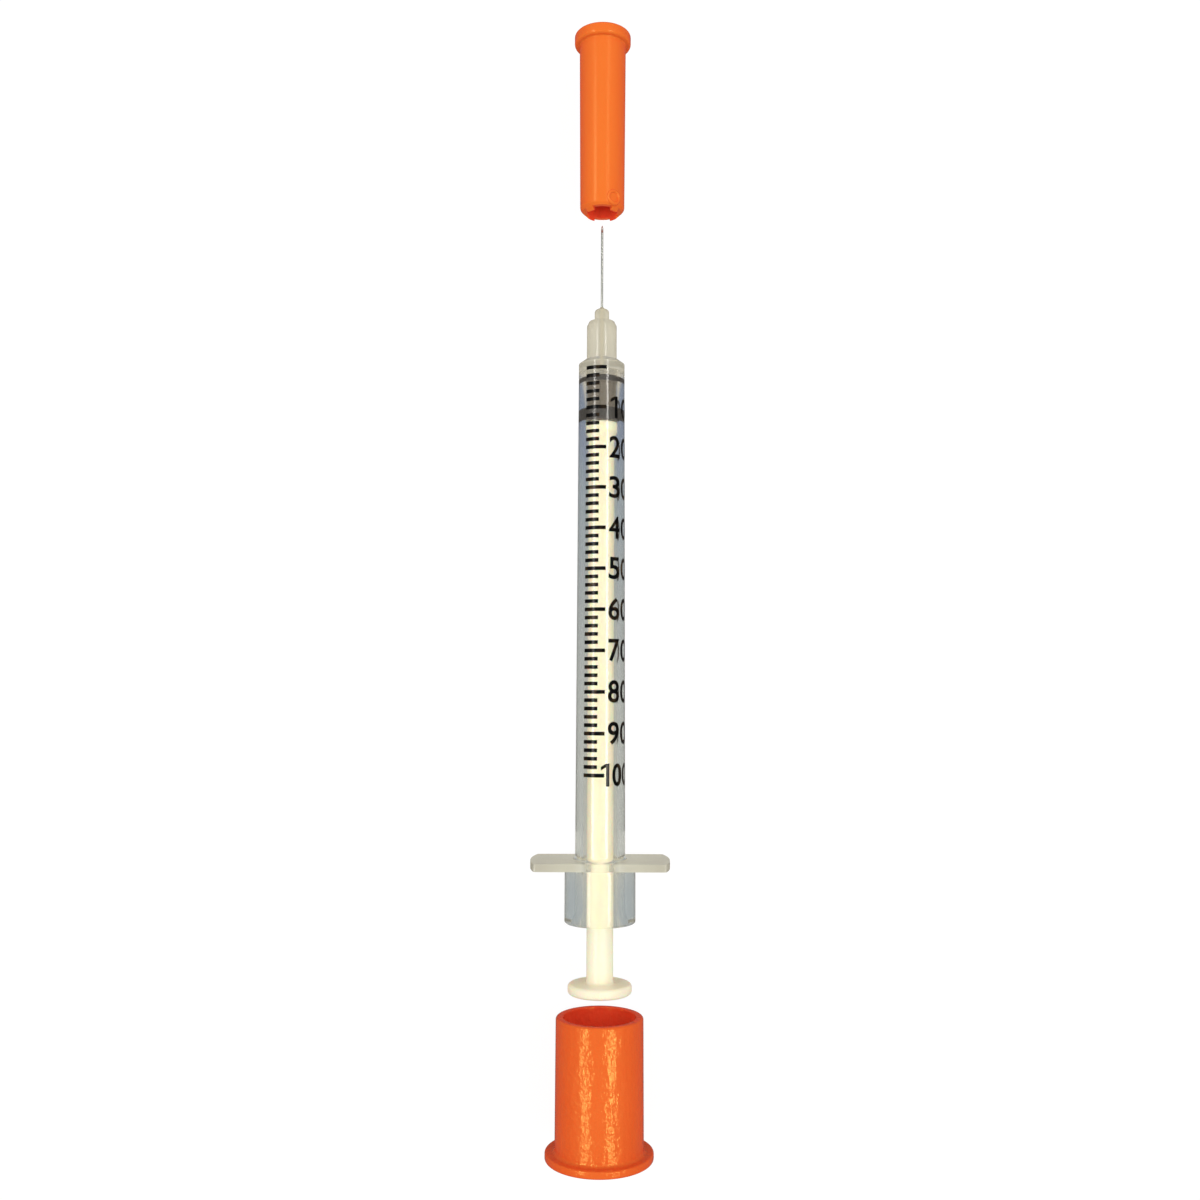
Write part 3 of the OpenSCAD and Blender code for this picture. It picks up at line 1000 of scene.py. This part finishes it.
@dataclass
class Scale(Part):
    """The printed scale: a line for every second unit and a plain number for every ten.

    It is made flat, with arc length along X, and then rolled round the tube.
    """

    barrel: Barrel
    length: float = 57.6
    line_count: int = 51
    lines_to_a_number: int = 5
    line_start: float = -2.32
    short_end: float = -0.26
    long_end: float = 0.76
    line_width: float = 0.53
    number_start: float = 1.2
    number_height: float = 3.15
    number_rise: float = 0.07
    digit_pitch: float = 2.1
    digit_width: float = 1.85
    hundred_width: float = 1.72
    hundred_starts: tuple[float, ...] = (0.99, 1.93, 3.78)
    boldness: float = 0.075
    sharpest: float = 0.4
    shift: float = -0.03
    slant: float = -0.19
    stem_from: float = 0.85
    stem_width: float = 0.5
    flag_width: float = 0.72
    flag_drop: float = 0.45
    flag_thick: float = 0.5
    lift: float = 0.006
    thickness: float = 0.012
    cut_step: float = 0.22

    def finish(self, piece: Piece) -> None:
        """Rolls a flat print round the tube, gives it its thickness and inks it.

        Args:
            piece: The flat print.
        """
        for vertex in piece.data.vertices:
            along = (vertex.co.y - self.axis.zero_y) / MM
            radius = self.barrel.tube_r(along)
            drift = self.shift - self.slant * along / self.length
            vertex.co = self.axis.around(radius + self.lift, (vertex.co.x / MM + drift) / radius, along)
        clean(piece)
        edit(piece)
        middle = self.axis.height
        if pick(piece, "FACE", lambda at, normal: at.x * normal.x + (at.z - middle) * normal.z < 0):
            bpy.ops.mesh.flip_normals()
        modify(piece, "SOLIDIFY", thickness=self.thickness * MM, offset=1.0)
        self.complete(piece, Finish.INK, 40.0)
        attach(piece, Body.BARREL.value)

    def bar(self, left: float, along: float, wide: float, tall: float, faces: int = 1) -> Piece:
        """Prints a bar, flat.

        Args:
            left: The arc length of its left end.
            along: Its middle's place along the axis.
            wide: Its width round the tube.
            tall: Its height along the axis.
            faces: How many faces it has round the tube.

        Returns:
            The bar.
        """
        clear()
        bpy.ops.mesh.primitive_grid_add(
            x_subdivisions=faces, y_subdivisions=1, size=1.0,
            location=((left + wide / 2) * MM, self.axis.y(along), 0),
        )
        return named("bar", (wide * MM, tall * MM, 1))

    def build_lines(self) -> None:
        """Prints the lines."""
        lines = []
        for i in range(self.line_count):
            wide = (self.short_end if i % self.lines_to_a_number else self.long_end) - self.line_start
            along = -self.length * i / (self.line_count - 1)
            lines.append(self.bar(self.line_start, along, wide, self.line_width, round(wide / self.cut_step)))
        self.finish(join("scale_lines", lines))

    def digit(self, sign: str, start: float, width: float, along: float) -> Piece:
        """Prints one digit, flat.

        Args:
            sign: The digit.
            start: The arc length of its left edge.
            width: Its width.
            along: Its middle's place along the axis.

        Returns:
            The digit.
        """
        clear()
        bpy.ops.object.text_add(location=(0, 0, 0))
        text = bpy.context.active_object.data
        text.body = sign
        text.resolution_u = 5
        bpy.ops.object.convert(target="MESH")
        digit = named(f"digit_{sign}")
        xs = [v.co.x for v in digit.data.vertices]
        ys = [v.co.y for v in digit.data.vertices]
        wide, tall = width - 2 * self.boldness, self.number_height - 2 * self.boldness
        for vertex in digit.data.vertices:
            flat_x = start + self.boldness + (vertex.co.x - min(xs)) / (max(xs) - min(xs)) * wide
            flat_y = along + ((vertex.co.y - min(ys)) / (max(ys) - min(ys)) - 0.5) * tall
            vertex.co = (flat_x * MM, self.axis.y(flat_y), 0)
        self.embolden(digit)
        return digit

    def embolden(self, digit: Piece) -> None:
        """Moves the edge of a flat digit outward, which makes its strokes bolder.

        Args:
            digit: The digit.
        """
        mesh = bmesh.new()
        mesh.from_mesh(digit.data)
        bmesh.ops.remove_doubles(mesh, verts=mesh.verts, dist=WELD)
        outward: dict[bmesh.types.BMVert, list[Vector]] = {}
        for edge in mesh.edges:
            if edge.is_boundary:
                first, last = edge.verts
                run = last.co - first.co
                out = Vector((run.y, -run.x, 0)).normalized()
                if out.dot(first.co - edge.link_faces[0].calc_center_median()) < 0:
                    out.negate()
                for vertex in edge.verts:
                    outward.setdefault(vertex, []).append(out)
        for vertex, outs in outward.items():
            corner = max(1 + outs[0].dot(outs[-1]), self.sharpest)
            vertex.co += (outs[0] + outs[-1]) * self.boldness * MM / corner
        mesh.to_mesh(digit.data)
        mesh.free()

    def one(self, start: float, along: float) -> list[Piece]:
        """Prints a digit one, flat, as a stem and the slanted flag at its top.

        Args:
            start: The arc length of the stem's left edge.
            along: The digit's middle along the axis.

        Returns:
            The stem and the flag.
        """
        stem = self.bar(start, along, self.stem_width, self.number_height)
        rise = (self.number_height - self.flag_thick) / 2
        flag = self.bar(start - self.flag_width, along + rise, self.flag_width, self.flag_thick)
        for vertex in flag.data.vertices:
            share = (start * MM - vertex.co.x) / (self.flag_width * MM)
            vertex.co.y -= self.flag_drop * MM * share
        return [stem, flag]

    def build_numbers(self) -> None:
        """Prints the numbers."""
        digits = []
        count = self.line_count // self.lines_to_a_number
        for i in range(1, count + 1):
            along = -self.length * i * self.lines_to_a_number / (self.line_count - 1) + self.number_rise
            signs = str(i * 100 // count)
            inset = self.stem_from if signs[0] == "1" else 0.0
            starts, width = (self.number_start + inset, self.number_start + self.digit_pitch), self.digit_width
            if len(signs) == len(self.hundred_starts):
                starts, width = self.hundred_starts, self.hundred_width
            for sign, start in zip(signs, starts):
                digits += self.one(start, along) if sign == "1" else [self.digit(sign, start, width, along)]
        piece = join("scale_numbers", digits)
        ends = [v.co.x / MM for v in piece.data.vertices]
        edit(piece)
        cut = min(ends) + self.cut_step / 2
        while cut < max(ends):
            bpy.ops.mesh.select_all(action="SELECT")
            bpy.ops.mesh.bisect(plane_co=(cut * MM, 0, 0), plane_no=(1, 0, 0))
            cut += self.cut_step
        clear()
        self.finish(piece)


@dataclass
class Plunger(Part):
    """The cream rod and its grey rubber stopper."""

    stopper_front: float = -0.84
    stopper_rear: float = -7.44
    ring_r: float = 2.353
    waist_r: float = 2.12
    front_ring: float = 0.85
    rear_ring: float = 1.9
    slope: float = 0.25
    neck_r: float = 0.85
    neck_t: float = -6.04
    barb_r: float = 1.35
    barb_t: float = -4.14
    barb_land: float = 0.25
    barb_fit: float = 0.03
    disc_r: float = 2.3
    disc_back: float = -8.84
    rod_t: float = -9.74
    rod_r: float = 1.86
    thumb_front: float = -86.34
    thumb_rear: float = -87.79
    thumb_r: float = 4.455
    seam_height: float = 0.035
    seam_inset: float = 0.3

    def build_rod(self) -> None:
        """Builds the rod with its barb, disc and thumb rest, and a fine seam that fades toward the disc."""
        corners = [
            Corner(0, self.thumb_rear), Corner(self.thumb_r, self.thumb_rear, 0.5),
            Corner(self.thumb_r, self.thumb_front, 0.5), Corner(self.rod_r, self.thumb_front, 0.35),
            Corner(self.rod_r, self.rod_t, 0.4), Corner(self.disc_r, self.disc_back, 0.3),
            Corner(self.disc_r, self.stopper_rear, 0.5), Corner(self.neck_r, self.stopper_rear),
            Corner(self.neck_r, self.neck_t), Corner(self.barb_r, self.neck_t, 0.06),
            Corner(self.barb_r, self.neck_t + self.barb_land, 0.06), Corner(self.neck_r, self.barb_t, 0.1),
            Corner(0, self.barb_t),
        ]
        piece = turned("plunger_shaft", self.axis, corners)
        low, high = self.axis.y(self.thumb_front + self.seam_inset), self.axis.y(self.rod_t - self.seam_inset)
        edit(piece)
        pick(piece, "VERT", lambda point, _normal: low < point.y < high and abs(point.x) < 2 * SLACK)
        grown = (self.rod_r + self.seam_height) / self.rod_r
        bpy.ops.transform.resize(value=(1, 1, grown), center_override=self.axis.at())
        self.complete(piece, Finish.ROD)
        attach(piece, Body.PLUNGER.value)
        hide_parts("plunger_rod")

    def build_stopper(self) -> None:
        """Builds the stopper. Its rings just meet the bore, as squeezed rubber does."""
        front, rear, fit = self.stopper_front, self.stopper_rear, self.barb_fit
        neck_r, barb_r = self.neck_r + fit, self.barb_r + fit
        corners = [
            Corner(neck_r, rear), Corner(self.ring_r, rear, 0.15), Corner(self.ring_r, rear + self.rear_ring, 0.1),
            Corner(self.waist_r, rear + self.rear_ring + self.slope, 0.15),
            Corner(self.waist_r, front - self.front_ring - self.slope, 0.15),
            Corner(self.ring_r, front - self.front_ring, 0.1), Corner(self.ring_r, front, 0.15), Corner(0, front),
            Corner(0, self.barb_t + fit), Corner(neck_r, self.barb_t + fit),
            Corner(barb_r, self.neck_t + self.barb_land + fit), Corner(barb_r, self.neck_t - fit),
            Corner(neck_r, self.neck_t - fit),
        ]
        piece = turned("rubber_stopper", self.axis, corners, closed=True)
        self.complete(piece, Finish.STOPPER)
        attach(piece, Body.PLUNGER.value)
        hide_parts("plunger_stopper")


@dataclass
class Cap(Part):
    """What both caps share: a pit in the closed end, with the gate's mark in its middle."""

    pit_depth: float = 0.25
    gate_depth: float = 0.08

    def pit(self, end: float, inward: int, radii: Sequence[float]) -> list[Corner]:
        """Draws the pit.

        Args:
            end: The closed end's place.
            inward: 1 where the cap lies toward the needle from its end, or else -1.
            radii: The pit's radius at its rim and at its bottom, and the mark's at its bottom and its top.

        Returns:
            The corners from the rim to the middle.
        """
        depths = (0.0, self.pit_depth, self.pit_depth, self.gate_depth, self.gate_depth)
        return [
            Corner(r, end + inward * depth, rounding)
            for r, depth, rounding in zip((*radii, 0), depths, (0.08, 0.08, 0.05, 0.05, 0))
        ]


@dataclass
class NeedleCap(Cap):
    """The orange needle cap: notched mouth, raised ring, drafted body and flanged closed end."""

    mouth: float = 23.55
    length: float = 27.35
    depth: float = 25.3
    bore_r: float = 2.18
    floor_r: float = 1.93
    grip: float = 5.6
    land_r: float = 2.36
    body_r: float = 3.23
    bevel: float = 0.87
    neck_r: float = 3.41
    rim_r: float = 4.15
    rim_t: float = 1.8
    rim_slope: float = 0.1
    notch_depth: float = 0.48
    notch_angle: float = 62.0
    notch_count: int = 4
    notch_root: float = 0.001
    ring_r: float = 0.9
    ring_line: float = 0.28
    ring_t: float = 1.6
    ring_turn: float = 32.0
    ring_sink: float = 0.08

    def outline(self) -> list[Corner]:
        """Draws the cap's section on one side of the axis.

        Returns:
            The corners from the bottom of the bore, round the mouth, to the middle of the closed end.
        """
        at, floor, end = self.mouth, self.mouth + self.depth, self.mouth + self.length
        neck = end - self.rim_t + self.rim_slope
        return [
            Corner(0, floor), Corner(self.floor_r / 2, floor, 0.3),
            Corner(self.floor_r, floor - self.floor_r / 2, 0.3), Corner(self.bore_r, at + self.grip),
            Corner(self.bore_r, at, 0.04), Corner(self.land_r, at, 0.04), Corner(self.body_r, at + self.bevel, 0.5),
            Corner(self.neck_r, neck, 0.2), Corner(self.rim_r, neck + self.rim_slope, 0.45),
            Corner(self.rim_r, end, 0.3),
            *self.pit(end, -1, (1.3, 1.15, 0.45, 0.4)),
        ]

    def notch_tool(self, turn: float) -> Piece:
        """Makes a wedge that cuts one notch.

        Args:
            turn: The notch's direction from the top, in radians.

        Returns:
            The wedge.
        """
        reach, middle = self.rim_r, self.axis.at()
        wide = 2 * reach * math.tan(math.radians(self.notch_angle / 2))
        clear()
        bpy.ops.mesh.primitive_cube_add(size=1.0, location=self.axis.at(0, self.mouth, reach / 2))
        tool = named("notch_tool", (wide * MM, 2 * self.notch_depth * MM, reach * MM))
        edit(tool)
        pick(tool, "VERT", lambda point, _normal: point.z < middle.z + SLACK)
        bpy.ops.transform.resize(value=(self.notch_root, 1, 1), center_override=middle)
        bpy.ops.mesh.select_all(action="SELECT")
        bpy.ops.transform.rotate(value=turn, orient_axis="Y", center_override=middle)
        clear()
        return tool

    def roll_ring(self, point: Vector) -> Vector:
        """Rolls a point of the small raised ring onto the cap's side."""
        angle = math.radians(self.ring_turn) + point.x / self.body_r
        return self.axis.around(self.body_r - self.ring_sink + point.z, angle, self.mouth + self.ring_t + point.y)

    def build(self) -> None:
        """Builds the cap."""
        piece = turned("needle_cap_moulding", self.axis, self.outline())
        for i in range(self.notch_count):
            boolean(piece, self.notch_tool(FULL_TURN * i / self.notch_count), "DIFFERENCE")
        ring = rolled_ring("ring_tool", (self.ring_r, self.ring_line), (48, 10), self.roll_ring)
        boolean(piece, ring, "UNION")
        clean(piece)
        self.complete(piece, Finish.NEEDLE_CAP)
        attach(piece, Body.NEEDLE_CAP.value)
        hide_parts("needle_cap")


@dataclass
class PlungerCap(Cap):
    """The orange plunger cap: a wide sleeve with a flanged closed end."""

    mouth: float = -90.87
    end: float = -109.87
    bore_r: float = 5.03
    floor: float = -108.87
    mouth_r: float = 6.08
    body_r: float = 6.14
    rim_r: float = 7.5
    rim_t: float = 1.05

    def build(self) -> None:
        """Builds the cap."""
        corners = [
            *reversed(self.pit(self.end, 1, (1.7, 1.5, 0.55, 0.5))),
            Corner(self.rim_r, self.end, 0.25), Corner(self.rim_r, self.end + self.rim_t, 0.25),
            Corner(self.body_r, self.end + self.rim_t, 0.5), Corner(self.mouth_r, self.mouth, 0.35),
            Corner(self.bore_r, self.mouth, 0.175), Corner(self.bore_r, self.floor, 0.8), Corner(0, self.floor),
        ]
        piece = turned("plunger_cap_moulding", self.axis, corners)
        self.complete(piece, Finish.PLUNGER_CAP)
        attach(piece, Body.PLUNGER_CAP.value)
        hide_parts("plunger_cap")


@dataclass
class Needle:
    """The steel needle and its adhesive, kept as the CAD has them."""

    finishes: Finishes

    def build(self) -> None:
        """Dresses the two CAD nodes."""
        for node, finish in (("needle_cannula", Finish.NEEDLE), ("needle_adhesive", Finish.ADHESIVE)):
            self.finishes.dress(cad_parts[node], finish)
            LOG.info("%s: dressed", node)


@dataclass
class Studio:
    """The floor, the sky, the two soft strips of light and the camera."""

    axis: Axis
    focal_share: float = 1181 / 1200
    sensor: float = 36.0
    aim_t: float = -33.0
    aim_across: float = -0.09
    distance: float = 168.4
    lean: float = 4.75
    roll: float = 0.195
    sky_light: float = 0.62
    sky_gloss: float = 0.4
    horizon_gloss: float = 0.07
    sky_clear: float = 0.33
    floor_size: float = 6.0
    floor_white: float = 1.06
    strips: tuple[tuple[str, float, float, float], ...] = (
        ("strip_right", 30.0, 0.085, 8.5), ("strip_left", -36.0, 0.08, 7.3)
    )
    strip_length: float = 0.46
    strip_middle: float = 0.018
    strip_away: float = 0.5
    # Tones painted along the axis for what the clear plastic shows of the floor.
    painted_through_tones: tuple[tuple[float, Colour], ...] = (
        (-84.0, (0.37, 0.45, 0.51)), (-74.0, (0.38, 0.45, 0.5)), (-68.0, (0.53, 0.56, 0.54)),
        (-45.0, (0.48, 0.52, 0.52)), (-30.0, (0.4, 0.45, 0.48)), (-14.0, (0.31, 0.38, 0.45)),
        (-7.0, (0.22, 0.28, 0.4)), (0.0, (0.22, 0.28, 0.39)), (2.4, (0.6, 0.57, 0.5)), (8.0, (0.68, 0.65, 0.56)),
    )

    def build_camera(self) -> None:
        """Puts the camera where the photograph was taken from."""
        lean = math.radians(self.lean)
        back = Vector((0, -math.sin(lean), math.cos(lean)))
        data = bpy.data.cameras.new("camera")
        data.sensor_width = self.sensor
        data.lens = self.sensor * self.focal_share
        data.clip_start, data.clip_end = 0.005, 20
        camera = bpy.data.objects.new("camera", data)
        camera.location = self.axis.at(self.aim_across, self.aim_t) + back * self.distance * MM
        camera.rotation_euler = (lean, 0, math.radians(self.roll))
        bpy.context.scene.collection.objects.link(camera)
        bpy.context.scene.camera = camera

    def build_strips(self) -> None:
        """Hangs the strip lights along the syringe, each by its turn from straight up, its width and its radiance."""
        for name, turn, width, glow in self.strips:
            data = bpy.data.lights.new(name, "AREA")
            data.shape = "RECTANGLE"
            data.size, data.size_y = width, self.strip_length
            data.energy = glow * math.pi * width * self.strip_length
            data.color = (1.0, 0.985, 0.95)
            lamp = bpy.data.objects.new(name, data)
            lamp.location = self.axis.around(self.strip_away / MM, math.radians(turn), 0)
            lamp.location.y = self.strip_middle
            lamp.rotation_euler = (0, math.radians(turn), 0)
            lamp.visible_transmission = False
            bpy.context.scene.collection.objects.link(lamp)

    def floor_shader(self, nodes: Nodes) -> Socket:
        """Draws the floor's shader.

        The camera sees it white with a faint shadow. The clear plastic sees tones painted place by place along the
        axis, a grey that is bluer toward the stopper and under the collar. Glossy skins see it dim, so their edges
        keep their own
        colour, but for a painted reflection: a bright band just before the finger flange, which its front face shows.

        Args:
            nodes: The material's nodes.

        Returns:
            The shader.
        """
        rear, front = self.painted_through_tones[0][0], self.painted_through_tones[-1][0]
        share = nodes.ranged(nodes.coordinate("Y"), From_Min=self.axis.y(rear), From_Max=self.axis.y(front))
        painted_through_tones = nodes.add("ValToRGB", i0=share)
        ramp = painted_through_tones.color_ramp
        while len(ramp.elements) < len(self.painted_through_tones):
            ramp.elements.new(0.5)
        for element, (place, colour) in zip(ramp.elements, self.painted_through_tones):
            element.position = (place - rear) / (front - rear)
            element.color = (*colour, 1.0)
        # Painted reflection: a bright band on the floor just before the finger flange, seen only by glossy rays.
        before = nodes.band(self.axis.y(-69.6), self.axis.y(-66.2), 0.0005)
        sheen = nodes.mix(before, (0.075, 0.06, 0.053), (0.6, 0.585, 0.54))
        rays = nodes.add("LightPath").outputs
        shader = nodes.first("BsdfDiffuse", Color=(0.8, 0.8, 0.79))
        for ray, amount, colour, strength in (
            ("Is Camera Ray", 0.88, (1.0, 1.0, 1.0), self.floor_white),
            ("Is Glossy Ray", 0.9, sheen, 1.0),
            ("Is Transmission Ray", 0.92, painted_through_tones.outputs[0], 1.0),
        ):
            glow = nodes.first("Emission", Color=colour, Strength=strength)
            shader = nodes.blend(nodes.math("MULTIPLY", rays[ray], amount), shader, glow)
        return shader

    def build_floor(self) -> None:
        """Lays the pale floor."""
        clear()
        bpy.ops.mesh.primitive_plane_add(size=self.floor_size, location=(0, 0, 0))
        floor = named("floor")
        material = bpy.data.materials.new("pale_floor")
        give_surface(material, "OutputMaterial", self.floor_shader)
        floor.data.materials.append(material)

    def sky_shader(self, nodes: Nodes) -> Socket:
        """Draws the sky: white for the camera, soft light for dull skins, dark at the horizon for shiny ones.

        Args:
            nodes: The world's nodes.

        Returns:
            The shader.
        """
        gloss = nodes.ranged(
            nodes.coordinate("Z", "Generated"), "SMOOTHSTEP", From_Min=0.05, From_Max=0.75,
            To_Min=self.horizon_gloss, To_Max=self.sky_gloss,
        )
        rays = nodes.add("LightPath").outputs
        shader = nodes.first("Background", Color=(0.97, 0.985, 1.0), Strength=self.sky_light)
        for ray, colour, strength in (
            ("Is Glossy Ray", (0.9, 0.96, 1.0), gloss),
            ("Is Transmission Ray", (0.95, 0.97, 1.0), self.sky_clear),
            ("Is Camera Ray", (1.0, 1.0, 1.0), 1.0),
        ):
            shader = nodes.blend(rays[ray], shader, nodes.first("Background", Color=colour, Strength=strength))
        return shader

    def build(self) -> None:
        """Builds the whole studio."""
        scene = bpy.context.scene
        scene.view_settings.view_transform = "Standard"
        self.build_floor()
        scene.world = bpy.data.worlds.new("sky")
        give_surface(scene.world, "OutputWorld", self.sky_shader)
        self.build_strips()
        self.build_camera()


def main() -> None:
    """Builds the syringe piece by piece, then the studio."""
    logging.basicConfig(level=logging.INFO, format="%(name)s: %(message)s")
    axis = Axis.from_frame()
    finishes = Finishes(axis)
    finishes.build()
    barrel = Barrel(axis, finishes)
    barrel.build()
    scale = Scale(axis, finishes, barrel)
    scale.build_lines()
    scale.build_numbers()
    Needle(finishes).build()
    plunger = Plunger(axis, finishes)
    plunger.build_rod()
    plunger.build_stopper()
    NeedleCap(axis, finishes).build()
    PlungerCap(axis, finishes).build()
    Studio(axis).build()


if __name__ == "__main__":
    main()
